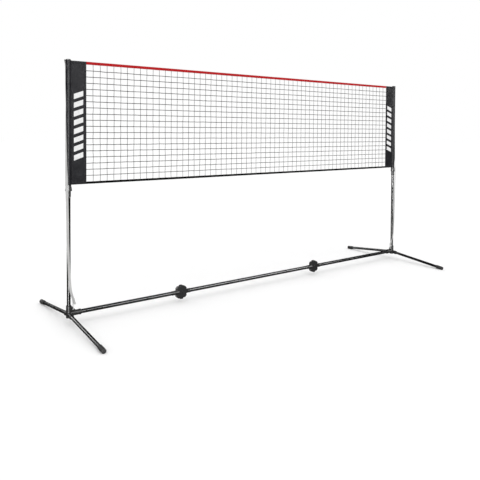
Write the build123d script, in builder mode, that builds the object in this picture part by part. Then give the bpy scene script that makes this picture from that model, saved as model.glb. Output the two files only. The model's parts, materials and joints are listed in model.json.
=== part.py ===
from build123d import *
import os
from math import cos, radians, sin

os.makedirs("parts", exist_ok=True)

# Portable badminton net, in millimetres. X runs along the net, Y across it, Z up.
# The origin lies on the floor, midway between the two posts.

# Overall layout
post_span = 3000.0
full_height = 1550.0
height_travel = 670.0
bar_height = 68.0
slip = 0.05

# Tubes
tube_wall = 1.2
lower_post_radius = 11.0
upper_post_radius = 12.5
bar_radius = 12.5
leg_radius = 10.5

# Corner hubs
hub_bottom = 44.0
hub_top = 115.0
hub_barrel_radius = 15.6
hub_cup_radius = 13.4
hub_cup_floor = 81.0
post_seat_height = 48.0
bar_socket_radius = 15.5
bar_socket_length = 72.0
bar_end_inset = 19.0
leg_socket_radius = 13.6
leg_socket_length = 46.0
leg_end_inset = 18.0
socket_lip_width = 9.0
socket_lip_rise = 1.1
rim_chamfer = 0.8
web_thickness = 6.0
web_inner = 12.0
web_top = 114.0
web_foot = 46.0
web_base = 78.0
web_edge_sum = 126.0
eye_offset = 26.0
eye_height = 90.0
eye_radius = 4.0
rivet_radius = 2.0
rivet_head_radius = 3.6
rivet_head_height = 1.2
bar_rivet_offset = 46.0
post_rivet_height = 60.0

# Legs and their end caps
leg_slope = 6.0
leg_reach = 505.0
foot_radius = 13.5
foot_length = 56.0
foot_end_wall = 6.0
foot_axis_height = 11.5
foot_rounding = 3.0
floor_cut_depth = 30.0

# Telescoping posts and their twist collars
lower_post_top = 836.0
bush_rim_height = 6.0
bush_rim_radius = 11.25
bush_plug_length = 24.0
upper_post_bottom = 787.0
cap_flange_bottom = 1544.5
cap_flange_radius = 13.9
cap_rounding = 2.5
cap_plug_length = 20.0
lug_width = 19.0
lug_depth = 9.0
lug_slot_width = 15.8
lug_slot_depth = 2.6
gland_bottom = 752.0
gland_top = 785.5
gland_radius = 13.0
gland_bore_radius = 11.06
collet_pocket_bottom = 757.0
collet_pocket_top = 776.0
collet_pocket_radius = 12.2
collet_clearance = 0.1
collet_slit = 2.0
collar_top = 821.0
collar_sleeve_radius = 14.0
ring_bottom = 786.5
ring_top = 820.5
ring_clearance = 0.1
ring_foot_radius = 16.9
ring_foot_height = 6.0
ring_head_radius = 15.3
ear_radius = 18.3
ear_width = 13.0
ear_top = 812.0

# Net, tapes and side bands
net_bottom = 822.0
net_top = 1544.0
band_width = 109.0
band_thickness = 2.0
channel_inner_radius = 12.75
channel_outer_radius = 13.55
netting_thickness = 1.2
tape_thickness = 3.0
top_tape_width = 17.0
bottom_tape_width = 14.0
seam_gap = 0.4

# Tension straps and their hooks
# A station of the strap is its offset inward and to the back, its height, and its turn.
strap_width = 15.0
strap_thickness = 1.6
strap_top = (-11.0, 11.4, 1544.2, 44.0)
strap_stations = [
    strap_top,
    (-14.2, 5.6, 1310.0, 68.0),
    (-15.3, 0.0, 1120.0, 90.0),
    (-15.2, -5.2, 950.0, 112.0),
    (-15.9, -11.6, 842.0, 150.0),
    (-16.0, -13.5, 800.0, 160.0),
    (-13.5, -14.5, 727.0, 164.0),
    (-9.8, -14.6, 492.0, 167.0),
    (-5.5, -15.0, 375.0, 169.0),
    (0.5, -15.6, 258.0, 170.0),
    (8.5, -14.6, 199.0, 172.0),
    (30.0, -8.6, 130.3, 178.0),
]
hook_wire_radius = 1.8
hook_bend_radius = 8.0
hook_bend_height = 99.2
hook_tip_height = 107.0
hook_plate_bottom = 117.0
hook_plate_top = 130.0
hook_plate_centre = 30.4
hook_plate_width = 19.8
hook_plate_thickness = 3.6
hook_slot_width = 15.4
hook_slot_height = 4.0

# Folding joints of the ground bar
left_joint_position = -730.0
right_joint_position = 508.0
joint_radius = 46.0
joint_half_thickness = 11.0
tooth_count = 8
notch_radius = 7.0
notch_centre_radius = 47.5
shell_inner = 3.5
shell_chamfer = 1.0
rim_inner_radius = 34.4
rim_edge = -14.0
core_radius = 34.0
core_half_thickness = 3.3
neck_half_width = 9.0
sleeve_radius = 14.1
sleeve_start = 48.0
sleeve_end = 70.0
joint_tube_end = 50.0
boss_end = 20.0
split_gap = 0.1
gear_front = 7.0
gear_back = 1.0
gear_radius = 12.8
gear_tooth_centre = 13.5
gear_tooth_length = 4.4
gear_tooth_width = 4.0
gear_clearance = 0.25
gear_pocket_floor = 7.4
button_radius = 9.0
button_hole_radius = 9.3
button_face = 15.5
button_rounding = 1.5
spring_pocket_radius = 8.0
spring_pocket_floor = 9.0
spring_radius = 6.5
spring_wire_radius = 0.6
spring_turns = 4
screw_radius = 1.6
screw_head_radius = 3.0
screw_head_height = 1.6
screw_sink = 1.8
screw_ring_radius = 38.0
screw_angles = (135.0, 225.0)
sleeve_screw_offset = 60.0
hole_clearance = 0.06

half_span = post_span / 2
post_position = {"left": -half_span, "right": half_span}
inward_sign = {"left": 1, "right": -1}
joint_position = {"left": left_joint_position, "right": right_joint_position}
leg_root_height = foot_axis_height + leg_reach * sin(radians(leg_slope))


def leg_plane(side, across):
    """The plane square to a leg at the hub's centre; its normal runs out along the leg."""
    direction = (0, across * cos(radians(leg_slope)), -sin(radians(leg_slope)))
    return Plane(
        origin=(post_position[side], 0, leg_root_height), x_dir=(1, 0, 0), z_dir=direction
    )


def bar_plane(side):
    """The plane square to the ground bar at a post's axis; its normal runs inward."""
    return Plane(
        origin=(post_position[side], 0, bar_height),
        x_dir=(0, 1, 0),
        z_dir=(inward_sign[side], 0, 0),
    )


def joint_plane(side, face, offset):
    """A plane of a folding joint, square to its pivot, offset towards the given face."""
    return Plane(
        origin=(joint_position[side], face * offset, bar_height),
        x_dir=(1, 0, 0),
        z_dir=(0, face, 0),
    )


def across_bar_plane(side, offset):
    """A plane square to the bar, at an offset from a folding joint's centre."""
    return Plane(
        origin=(joint_position[side] + offset, 0, bar_height), x_dir=(0, 1, 0), z_dir=(1, 0, 0)
    )


def make_hub(side):
    """Moulded corner: post socket with a cup on top, bar socket, two leg sockets, hook web."""
    post_x = post_position[side]
    inward = inward_sign[side]
    with BuildPart() as hub:
        with BuildSketch(Plane.XY.offset(hub_bottom)):
            with Locations((post_x, 0)):
                Circle(hub_barrel_radius)
        extrude(amount=hub_top - hub_bottom)
        with BuildSketch(bar_plane(side)):
            Circle(bar_socket_radius)
        extrude(amount=bar_socket_length)
        with BuildSketch(bar_plane(side).offset(bar_socket_length - socket_lip_width)):
            Circle(bar_socket_radius + socket_lip_rise)
        extrude(amount=socket_lip_width)
        for across in (-1, 1):
            with BuildSketch(leg_plane(side, across)):
                Circle(leg_socket_radius)
            extrude(amount=leg_socket_length)
            with BuildSketch(leg_plane(side, across).offset(leg_socket_length - socket_lip_width)):
                Circle(leg_socket_radius + socket_lip_rise)
            extrude(amount=socket_lip_width)
        with BuildSketch(Plane.XZ):
            with BuildLine():
                Polyline(
                    (post_x + inward * web_inner, web_base),
                    (post_x + inward * web_foot, web_base),
                    (post_x + inward * web_foot, web_edge_sum - web_foot),
                    (post_x + inward * web_inner, web_top),
                    close=True,
                )
            make_face()
        extrude(amount=web_thickness / 2, both=True)
        with BuildSketch(Plane.XZ):
            with Locations((post_x + inward * eye_offset, eye_height)):
                Circle(eye_radius)
        extrude(amount=web_thickness, both=True, mode=Mode.SUBTRACT)
        with BuildSketch(Plane.XY.offset(hub_cup_floor)):
            with Locations((post_x, 0)):
                Circle(hub_cup_radius)
        extrude(amount=hub_top - hub_cup_floor, mode=Mode.SUBTRACT)
        with BuildSketch(Plane.XY.offset(post_seat_height)):
            with Locations((post_x, 0)):
                Circle(lower_post_radius + slip)
        extrude(amount=hub_cup_floor - post_seat_height, mode=Mode.SUBTRACT)
        with BuildSketch(bar_plane(side).offset(bar_end_inset)):
            Circle(bar_radius + slip)
        extrude(amount=bar_socket_length - bar_end_inset, mode=Mode.SUBTRACT)
        for across in (-1, 1):
            with BuildSketch(leg_plane(side, across).offset(leg_end_inset)):
                Circle(leg_radius + slip)
            extrude(amount=leg_socket_length - leg_end_inset, mode=Mode.SUBTRACT)
        with BuildSketch(Plane.XZ):
            with Locations((post_x + inward * bar_rivet_offset, bar_height)):
                Circle(rivet_radius + hole_clearance)
        extrude(amount=bar_socket_radius * 2, both=True, mode=Mode.SUBTRACT)
        with BuildSketch(Plane.YZ.offset(post_x)):
            with Locations((0, post_rivet_height)):
                Circle(rivet_radius + hole_clearance)
        extrude(amount=-inward * hub_barrel_radius * 2, mode=Mode.SUBTRACT)
        top_rim = hub.edges().filter_by(GeomType.CIRCLE).group_by(Axis.Z)[-1]
        chamfer(top_rim, rim_chamfer / 2)
    hub.part.label = side + "_hub"
    export_step(hub.part, f"parts/{side}_hub.step")


def make_hub_rivets(side):
    """The rivet through the bar socket and the one that pins the lower post."""
    post_x = post_position[side]
    inward = inward_sign[side]
    bar_head_plane = Plane.XZ.offset(-bar_socket_radius)
    with BuildPart() as rivets:
        with BuildSketch(Plane.XZ):
            with Locations((post_x + inward * bar_rivet_offset, bar_height)):
                Circle(rivet_radius)
        extrude(amount=bar_socket_radius, both=True)
        for plane, amount in (
            (bar_head_plane, -rivet_head_height),
            (Plane.XZ.offset(bar_socket_radius), rivet_head_height),
        ):
            with BuildSketch(plane):
                with Locations((post_x + inward * bar_rivet_offset, bar_height)):
                    Circle(rivet_head_radius)
            extrude(amount=amount)
        outer_face = -inward * hub_barrel_radius
        inner_end = lower_post_radius - tube_wall
        with BuildSketch(Plane.YZ.offset(post_x + outer_face)):
            with Locations((0, post_rivet_height)):
                Circle(rivet_radius)
        extrude(amount=inward * (hub_barrel_radius - inner_end))
        with BuildSketch(Plane.YZ.offset(post_x + outer_face)):
            with Locations((0, post_rivet_height)):
                Circle(rivet_head_radius)
        extrude(amount=-inward * rivet_head_height)
    rivets.part.label = side + "_hub_rivets"
    export_step(rivets.part, f"parts/{side}_hub_rivets.step")


def make_leg(side, end, across):
    """One plug-in leg tube, from its hub socket out to its end cap."""
    with BuildPart() as leg:
        with BuildSketch(leg_plane(side, across).offset(leg_end_inset)):
            Circle(leg_radius)
            Circle(leg_radius - tube_wall, mode=Mode.SUBTRACT)
        extrude(amount=leg_reach - foot_end_wall - leg_end_inset)
    leg.part.label = f"{side}_{end}_leg"
    export_step(leg.part, f"parts/{side}_{end}_leg.step")


def make_foot(side, end, across):
    """The rubber cap on a leg's end, with the small flat that it stands on."""
    with BuildPart() as foot:
        with BuildSketch(leg_plane(side, across).offset(leg_reach - foot_length)):
            Circle(foot_radius)
        extrude(amount=foot_length)
        end_rim = foot.edges().filter_by(GeomType.CIRCLE).sort_by(Axis.Z)[0]
        fillet(end_rim, foot_rounding)
        with BuildSketch(leg_plane(side, across).offset(leg_reach - foot_length)):
            Circle(leg_radius + slip)
        extrude(amount=foot_length - foot_end_wall, mode=Mode.SUBTRACT)
        with Locations((post_position[side], across * leg_reach, -floor_cut_depth / 2)):
            Box(foot_length, foot_length * 2, floor_cut_depth, mode=Mode.SUBTRACT)
    foot.part.label = f"{side}_{end}_foot"
    export_step(foot.part, f"parts/{side}_{end}_foot.step")


def make_lower_post(side):
    """The fixed lower tube of a post, seated in its hub."""
    post_x = post_position[side]
    with BuildPart() as post:
        with BuildSketch(Plane.XY.offset(post_seat_height)):
            with Locations((post_x, 0)):
                Circle(lower_post_radius)
                Circle(lower_post_radius - tube_wall, mode=Mode.SUBTRACT)
        extrude(amount=lower_post_top - post_seat_height)
        with BuildSketch(Plane.YZ.offset(post_x)):
            with Locations((0, post_rivet_height)):
                Circle(rivet_radius + hole_clearance)
        extrude(amount=-inward_sign[side] * hub_barrel_radius, mode=Mode.SUBTRACT)
    post.part.label = side + "_post_lower"
    export_step(post.part, f"parts/{side}_post_lower.step")


def make_post_bush(side):
    """The guide bush plugged into the top of the lower tube; it runs in the upper tube."""
    post_x = post_position[side]
    plug_radius = lower_post_radius - tube_wall - slip
    with BuildPart() as bush:
        with BuildSketch(Plane.XY.offset(lower_post_top - bush_plug_length)):
            with Locations((post_x, 0)):
                Circle(plug_radius)
        extrude(amount=bush_plug_length)
        with BuildSketch(Plane.XY.offset(lower_post_top)):
            with Locations((post_x, 0)):
                Circle(bush_rim_radius)
        extrude(amount=bush_rim_height)
        chamfer(bush.edges().filter_by(GeomType.CIRCLE).sort_by(Axis.Z)[-1], rim_chamfer)
    bush.part.label = side + "_post_bush"
    export_step(bush.part, f"parts/{side}_post_bush.step")


def make_upper_post(side):
    """The sliding upper tube of a post."""
    with BuildPart() as post:
        with BuildSketch(Plane.XY.offset(upper_post_bottom)):
            with Locations((post_position[side], 0)):
                Circle(upper_post_radius)
                Circle(upper_post_radius - tube_wall, mode=Mode.SUBTRACT)
        extrude(amount=cap_flange_bottom - upper_post_bottom)
    post.part.label = side + "_post_upper"
    export_step(post.part, f"parts/{side}_post_upper.step")


def make_post_cap(side):
    """The plug on top of a post, with the slotted lug that the strap is sewn round."""
    post_x = post_position[side]
    inward = inward_sign[side]
    lug_inward, lug_y, _, lug_turn = strap_top
    lug_x = post_x + inward * lug_inward
    with BuildPart() as cap:
        with BuildSketch(Plane.XY.offset(cap_flange_bottom - cap_plug_length)):
            with Locations((post_x, 0)):
                Circle(upper_post_radius - tube_wall - slip)
        extrude(amount=cap_plug_length)
        with BuildSketch(Plane.XY.offset(cap_flange_bottom)):
            with Locations((post_x, 0)):
                Circle(cap_flange_radius)
        extrude(amount=full_height - cap_flange_bottom)
        fillet(cap.edges().filter_by(GeomType.CIRCLE).sort_by(Axis.Z)[-1], cap_rounding)
        with BuildSketch(Plane.XY.offset(cap_flange_bottom)):
            with Locations((lug_x, lug_y)):
                Rectangle(lug_width, lug_depth, rotation=inward * lug_turn)
            with Locations((post_x, 0)):
                Circle(upper_post_radius, mode=Mode.SUBTRACT)
        extrude(amount=(full_height - cap_flange_bottom) / 2)
        with BuildSketch(Plane.XY.offset(cap_flange_bottom)):
            with Locations((lug_x, lug_y)):
                Rectangle(lug_slot_width, lug_slot_depth, rotation=inward * lug_turn)
        extrude(amount=full_height - cap_flange_bottom, mode=Mode.SUBTRACT)
    cap.part.label = side + "_post_cap"
    export_step(cap.part, f"parts/{side}_post_cap.step")


def make_collar_body(side):
    """The collar at the foot of the upper tube: a gland on the lower tube, a sleeve above."""
    post_x = post_position[side]
    tube_seat_radius = upper_post_radius + slip
    with BuildPart() as collar:
        with BuildSketch(Plane.XZ):
            with BuildLine():
                Polyline(
                    (post_x + gland_bore_radius, gland_bottom),
                    (post_x + gland_radius, gland_bottom),
                    (post_x + gland_radius, gland_top),
                    (post_x + collar_sleeve_radius, gland_top),
                    (post_x + collar_sleeve_radius, collar_top),
                    (post_x + tube_seat_radius, collar_top),
                    (post_x + tube_seat_radius, upper_post_bottom),
                    (post_x + gland_bore_radius, upper_post_bottom),
                    (post_x + gland_bore_radius, collet_pocket_top),
                    (post_x + collet_pocket_radius, collet_pocket_top),
                    (post_x + collet_pocket_radius, collet_pocket_bottom),
                    (post_x + gland_bore_radius, collet_pocket_bottom),
                    close=True,
                )
            make_face()
        revolve(axis=Axis((post_x, 0, 0), (0, 0, 1)))
    collar.part.label = side + "_collar_body"
    export_step(collar.part, f"parts/{side}_collar_body.step")


def make_collar_collet(side):
    """The split ring inside the gland that grips the lower tube."""
    post_x = post_position[side]
    collet_height = collet_pocket_top - collet_pocket_bottom - 2 * collet_clearance
    with BuildPart() as collet:
        with BuildSketch(Plane.XY.offset(collet_pocket_bottom + collet_clearance)):
            with Locations((post_x, 0)):
                Circle(collet_pocket_radius - collet_clearance)
                Circle(gland_bore_radius, mode=Mode.SUBTRACT)
            with Locations((post_x, collet_pocket_radius)):
                Rectangle(collet_slit, collet_pocket_radius, mode=Mode.SUBTRACT)
        extrude(amount=collet_height)
    collet.part.label = side + "_collar_collet"
    export_step(collet.part, f"parts/{side}_collar_collet.step")


def make_lock_ring(side):
    """The bell-shaped ring that twists round the collar, with an ear on either side."""
    post_x = post_position[side]
    bore_radius = collar_sleeve_radius + ring_clearance
    with BuildPart() as ring:
        with BuildSketch(Plane.XZ):
            with BuildLine():
                Polyline(
                    (post_x, ring_bottom),
                    (post_x + ring_foot_radius, ring_bottom),
                    (post_x + ring_foot_radius, ring_bottom + ring_foot_height),
                    (post_x + ring_head_radius, ring_top),
                    (post_x, ring_top),
                    close=True,
                )
            make_face()
        revolve(axis=Axis((post_x, 0, 0), (0, 0, 1)))
        with BuildSketch(Plane.XZ):
            for outward in (-1, 1):
                with BuildLine():
                    Polyline(
                        (post_x, ring_bottom),
                        (post_x + outward * ear_radius, ring_bottom),
                        (post_x + outward * ear_radius, ring_bottom + ring_foot_height),
                        (post_x + outward * ring_head_radius, ear_top),
                        (post_x, ear_top),
                        close=True,
                    )
                make_face()
        extrude(amount=ear_width / 2, both=True)
        with BuildSketch(Plane.XY.offset(ring_bottom)):
            with Locations((post_x, 0)):
                Circle(bore_radius)
        extrude(amount=ring_top - ring_bottom, mode=Mode.SUBTRACT)
    ring.part.label = side + "_lock_ring"
    export_step(ring.part, f"parts/{side}_lock_ring.step")


def make_band(side):
    """The side band of the net: a channel round the post and a flat panel sewn to it."""
    post_x = post_position[side]
    inward = inward_sign[side]
    panel_start = (channel_inner_radius + channel_outer_radius) / 2
    panel_width = band_width - panel_start
    with BuildPart() as band:
        with BuildSketch(Plane.XY.offset(net_bottom)):
            with Locations((post_x, 0)):
                Circle(channel_outer_radius)
            with Locations((post_x + inward * (panel_start + panel_width / 2), 0)):
                Rectangle(panel_width, band_thickness)
            with Locations((post_x, 0)):
                Circle(channel_inner_radius, mode=Mode.SUBTRACT)
        extrude(amount=net_top - net_bottom)
    band.part.label = side + "_band"
    export_step(band.part, f"parts/{side}_band.step")


def make_strap(side):
    """The flat webbing strap from the post's cap, past the collar, down to the hook."""
    post_x = post_position[side]
    inward = inward_sign[side]
    with BuildPart() as strap:
        for x, y, z, turn in strap_stations:
            with BuildSketch(Plane.XY.offset(z)):
                with Locations((post_x + inward * x, y)):
                    Rectangle(strap_width, strap_thickness, rotation=inward * turn)
        loft(ruled=True)
    strap.part.label = side + "_strap"
    export_step(strap.part, f"parts/{side}_strap.step")


def make_strap_hook(side):
    """The hook at the strap's foot, caught in the eye of the hub's web."""
    post_x = post_position[side]
    inward = inward_sign[side]
    hook_x = post_x + inward * eye_offset
    plate_height = hook_plate_top - hook_plate_bottom
    plate_middle = (hook_plate_top + hook_plate_bottom) / 2
    with BuildPart() as hook:
        with BuildLine() as wire:
            Line(
                (hook_x, -hook_bend_radius, hook_plate_bottom + hook_wire_radius),
                (hook_x, -hook_bend_radius, hook_bend_height),
            )
            ThreePointArc(
                (hook_x, -hook_bend_radius, hook_bend_height),
                (hook_x, 0, hook_bend_height - hook_bend_radius),
                (hook_x, hook_bend_radius, hook_bend_height),
            )
            Line(
                (hook_x, hook_bend_radius, hook_bend_height),
                (hook_x, hook_bend_radius, hook_tip_height),
            )
        with BuildSketch(Plane.XY.offset(hook_plate_bottom + hook_wire_radius)):
            with Locations((hook_x, -hook_bend_radius)):
                Circle(hook_wire_radius)
        sweep(path=wire.wire())
        with Locations((post_x + inward * hook_plate_centre, -hook_bend_radius, plate_middle)):
            Box(hook_plate_width, hook_plate_thickness, plate_height)
        with Locations((post_x + inward * hook_plate_centre, -hook_bend_radius, plate_middle)):
            Box(hook_slot_width, hook_plate_thickness, hook_slot_height, mode=Mode.SUBTRACT)
    hook.part.label = side + "_strap_hook"
    export_step(hook.part, f"parts/{side}_strap_hook.step")


def make_bar(name, start, start_clear, end, end_clear, screw_offsets, rivet_offsets):
    """One tube of the ground bar, with its fastener holes."""
    with BuildPart() as bar:
        with BuildSketch(Plane.YZ.offset(start + start_clear)):
            with Locations((0, bar_height)):
                Circle(bar_radius)
                Circle(bar_radius - tube_wall, mode=Mode.SUBTRACT)
        extrude(amount=end - end_clear - start - start_clear)
        for hole_x, radius in screw_offsets + rivet_offsets:
            with BuildSketch(Plane.XZ):
                with Locations((hole_x, bar_height)):
                    Circle(radius + hole_clearance)
            extrude(amount=bar_radius, both=True, mode=Mode.SUBTRACT)
    bar.part.label = name
    export_step(bar.part, f"parts/{name}.step")


def toothed_outline(clearance):
    """The outline of the lock gear, or of its pocket when given a clearance."""
    Circle(gear_radius + clearance)
    with PolarLocations(gear_tooth_centre, tooth_count):
        Rectangle(gear_tooth_length + 2 * clearance, gear_tooth_width + 2 * clearance)


def notched_disc():
    """The cog-like outline that both shells of a folding joint share."""
    Circle(joint_radius)
    with PolarLocations(notch_centre_radius, tooth_count, start_angle=180 / tooth_count):
        Circle(notch_radius, mode=Mode.SUBTRACT)


def screw_locations():
    """Where the two rim screws stand, in a joint plane."""
    return [
        (screw_ring_radius * cos(radians(a)), screw_ring_radius * sin(radians(a)))
        for a in screw_angles
    ]


def make_shell(side, name, face):
    """One outer shell of a folding joint, with half of the sleeve for the left-hand tube."""
    half_sleeve_middle = face * (split_gap + sleeve_radius)
    with BuildPart() as shell:
        with BuildSketch(joint_plane(side, face, shell_inner)):
            notched_disc()
        extrude(amount=joint_half_thickness - shell_inner)
        outer_rim = shell.faces().sort_by(Axis.Y)[-1 if face > 0 else 0].edges()
        chamfer(outer_rim, shell_chamfer)
        with BuildSketch(across_bar_plane(side, -sleeve_end)):
            Circle(sleeve_radius)
            with Locations((half_sleeve_middle, 0)):
                Rectangle(sleeve_radius * 2, sleeve_radius * 2, mode=Mode.INTERSECT)
        extrude(amount=sleeve_end - rim_inner_radius)
        with BuildSketch(across_bar_plane(side, -rim_inner_radius)):
            Circle(sleeve_radius)
            with Locations((face * (shell_inner + sleeve_radius), 0)):
                Rectangle(sleeve_radius * 2, sleeve_radius * 2, mode=Mode.INTERSECT)
        extrude(amount=rim_inner_radius - boss_end)
        if face > 0:
            with BuildSketch(joint_plane(side, face, -shell_inner + split_gap)):
                notched_disc()
                Circle(rim_inner_radius, mode=Mode.SUBTRACT)
                with Locations((rim_edge - joint_radius, 0)):
                    Rectangle(joint_radius * 2, joint_radius * 2, mode=Mode.INTERSECT)
            extrude(amount=2 * shell_inner - split_gap)
            with BuildSketch(across_bar_plane(side, -sleeve_end)):
                Circle(sleeve_radius + split_gap)
                with Locations((-half_sleeve_middle, 0)):
                    Rectangle(sleeve_radius * 2, sleeve_radius * 2, mode=Mode.INTERSECT)
            extrude(amount=sleeve_end - rim_inner_radius, mode=Mode.SUBTRACT)
            with BuildSketch(joint_plane(side, face, shell_inner)):
                Circle(spring_pocket_radius)
            extrude(amount=spring_pocket_floor - shell_inner, mode=Mode.SUBTRACT)
        else:
            with BuildSketch(joint_plane(side, face, shell_inner)):
                toothed_outline(gear_clearance)
            extrude(amount=gear_pocket_floor - shell_inner, mode=Mode.SUBTRACT)
            with BuildSketch(joint_plane(side, face, shell_inner)):
                Circle(button_hole_radius)
            extrude(amount=joint_half_thickness, mode=Mode.SUBTRACT)
        with BuildSketch(across_bar_plane(side, -sleeve_end)):
            Circle(bar_radius + slip)
        extrude(amount=sleeve_end - joint_tube_end, mode=Mode.SUBTRACT)
        with BuildSketch(joint_plane(side, face, -joint_half_thickness)):
            with Locations(*screw_locations(), (-sleeve_screw_offset, 0)):
                Circle(screw_radius + hole_clearance)
        extrude(amount=joint_half_thickness + sleeve_radius, mode=Mode.SUBTRACT)
        if face < 0:
            with BuildSketch(joint_plane(side, face, joint_half_thickness - screw_sink)):
                with Locations(*screw_locations()):
                    Circle(screw_head_radius + hole_clearance)
            extrude(amount=screw_sink, mode=Mode.SUBTRACT)
    shell.part.label = f"{side}_joint_{name}_shell"
    export_step(shell.part, f"parts/{side}_joint_{name}_shell.step")


def make_core(side):
    """The middle disc of a folding joint, with the neck and sleeve of the right-hand tube."""
    with BuildPart() as core:
        with BuildSketch(joint_plane(side, 1, -core_half_thickness)):
            Circle(core_radius)
            with Locations(((sleeve_start + joint_tube_end) / 2 / 2, 0)):
                Rectangle((sleeve_start + joint_tube_end) / 2, neck_half_width * 2)
        extrude(amount=core_half_thickness * 2)
        with BuildSketch(across_bar_plane(side, sleeve_start)):
            Circle(sleeve_radius)
        extrude(amount=sleeve_end - sleeve_start)
        with BuildSketch(across_bar_plane(side, joint_tube_end)):
            Circle(bar_radius + slip)
        extrude(amount=sleeve_end - joint_tube_end, mode=Mode.SUBTRACT)
        with BuildSketch(joint_plane(side, 1, -core_half_thickness)):
            toothed_outline(gear_clearance)
        extrude(amount=core_half_thickness * 2, mode=Mode.SUBTRACT)
        with BuildSketch(joint_plane(side, 1, -sleeve_radius)):
            with Locations((sleeve_screw_offset, 0)):
                Circle(screw_radius + hole_clearance)
        extrude(amount=sleeve_radius * 2, mode=Mode.SUBTRACT)
    core.part.label = side + "_joint_core"
    export_step(core.part, f"parts/{side}_joint_core.step")


def make_lock_gear(side):
    """The toothed slug that locks the front shell to the core until it is pushed in."""
    with BuildPart() as gear:
        with BuildSketch(joint_plane(side, -1, gear_back)):
            toothed_outline(0)
        extrude(amount=gear_front - gear_back)
    gear.part.label = side + "_joint_lock_gear"
    export_step(gear.part, f"parts/{side}_joint_lock_gear.step")


def make_button(side):
    """The round push button on the front of a folding joint."""
    with BuildPart() as button:
        with BuildSketch(joint_plane(side, -1, gear_front)):
            Circle(button_radius)
        extrude(amount=button_face - gear_front)
        fillet(button.edges().filter_by(GeomType.CIRCLE).sort_by(Axis.Y)[0], button_rounding)
    button.part.label = side + "_joint_button"
    export_step(button.part, f"parts/{side}_joint_button.step")


def make_spring(side):
    """The coil spring that pushes the lock gear and its button out again."""
    spring_start = spring_wire_radius - gear_back
    spring_length = spring_pocket_floor - spring_wire_radius - spring_start
    with BuildPart() as spring:
        with BuildLine() as coil:
            Helix(
                spring_length / spring_turns,
                spring_length,
                spring_radius,
                center=(joint_position[side], spring_start, bar_height),
                direction=(0, 1, 0),
            )
        with BuildSketch(Plane(origin=coil.line @ 0, z_dir=coil.line % 0)):
            Circle(spring_wire_radius)
        sweep(path=coil.wire())
    spring.part.label = side + "_joint_spring"
    export_step(spring.part, f"parts/{side}_joint_spring.step")


def make_joint_screws(side):
    """Two screws that close the shells, and one through each tube sleeve."""
    head_seat = joint_half_thickness - screw_sink
    with BuildPart() as screws:
        with BuildSketch(joint_plane(side, -1, -head_seat)):
            with Locations(*screw_locations()):
                Circle(screw_radius)
        extrude(amount=2 * head_seat)
        with BuildSketch(joint_plane(side, -1, head_seat)):
            with Locations(*screw_locations()):
                Circle(screw_head_radius)
        extrude(amount=screw_head_height)
        with BuildSketch(joint_plane(side, -1, -sleeve_radius)):
            with Locations((-sleeve_screw_offset, 0), (sleeve_screw_offset, 0)):
                Circle(screw_radius)
        extrude(amount=2 * sleeve_radius)
        with BuildSketch(joint_plane(side, -1, sleeve_radius)):
            with Locations((-sleeve_screw_offset, 0), (sleeve_screw_offset, 0)):
                Circle(screw_head_radius)
        extrude(amount=screw_head_height)
    screws.part.label = side + "_joint_screws"
    export_step(screws.part, f"parts/{side}_joint_screws.step")


def make_net_strip(name, bottom, top, thickness):
    """A flat part of the net that spans from band to band."""
    half_length = half_span - band_width - seam_gap
    with BuildPart() as strip:
        with Locations((0, 0, (bottom + top) / 2)):
            Box(2 * half_length, thickness, top - bottom)
    strip.part.label = name
    export_step(strip.part, f"parts/{name}.step")


for side in ("left", "right"):
    make_hub(side)
    make_hub_rivets(side)
    for end, across in (("front", -1), ("back", 1)):
        make_leg(side, end, across)
        make_foot(side, end, across)
    make_lower_post(side)
    make_post_bush(side)
    make_upper_post(side)
    make_post_cap(side)
    make_collar_body(side)
    make_collar_collet(side)
    make_lock_ring(side)
    make_band(side)
    make_strap(side)
    make_strap_hook(side)
    make_shell(side, "front", -1)
    make_shell(side, "rear", 1)
    make_core(side)
    make_lock_gear(side)
    make_button(side)
    make_spring(side)
    make_joint_screws(side)

left_joint_x = joint_position["left"]
right_joint_x = joint_position["right"]
make_bar(
    "left_bar",
    -half_span,
    bar_end_inset,
    left_joint_x,
    joint_tube_end,
    [(left_joint_x - sleeve_screw_offset, screw_radius)],
    [(bar_rivet_offset - half_span, rivet_radius)],
)
make_bar(
    "centre_bar",
    left_joint_x,
    joint_tube_end,
    right_joint_x,
    joint_tube_end,
    [
        (left_joint_x + sleeve_screw_offset, screw_radius),
        (right_joint_x - sleeve_screw_offset, screw_radius),
    ],
    [],
)
make_bar(
    "right_bar",
    right_joint_x,
    joint_tube_end,
    half_span,
    bar_end_inset,
    [(right_joint_x + sleeve_screw_offset, screw_radius)],
    [(half_span - bar_rivet_offset, rivet_radius)],
)
make_net_strip("netting", net_bottom + bottom_tape_width, net_top - top_tape_width, netting_thickness)
make_net_strip("top_tape", net_top - top_tape_width, net_top, tape_thickness)
make_net_strip("bottom_tape", net_bottom, net_bottom + bottom_tape_width, tape_thickness)
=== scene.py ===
import json
import math
import random

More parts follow.
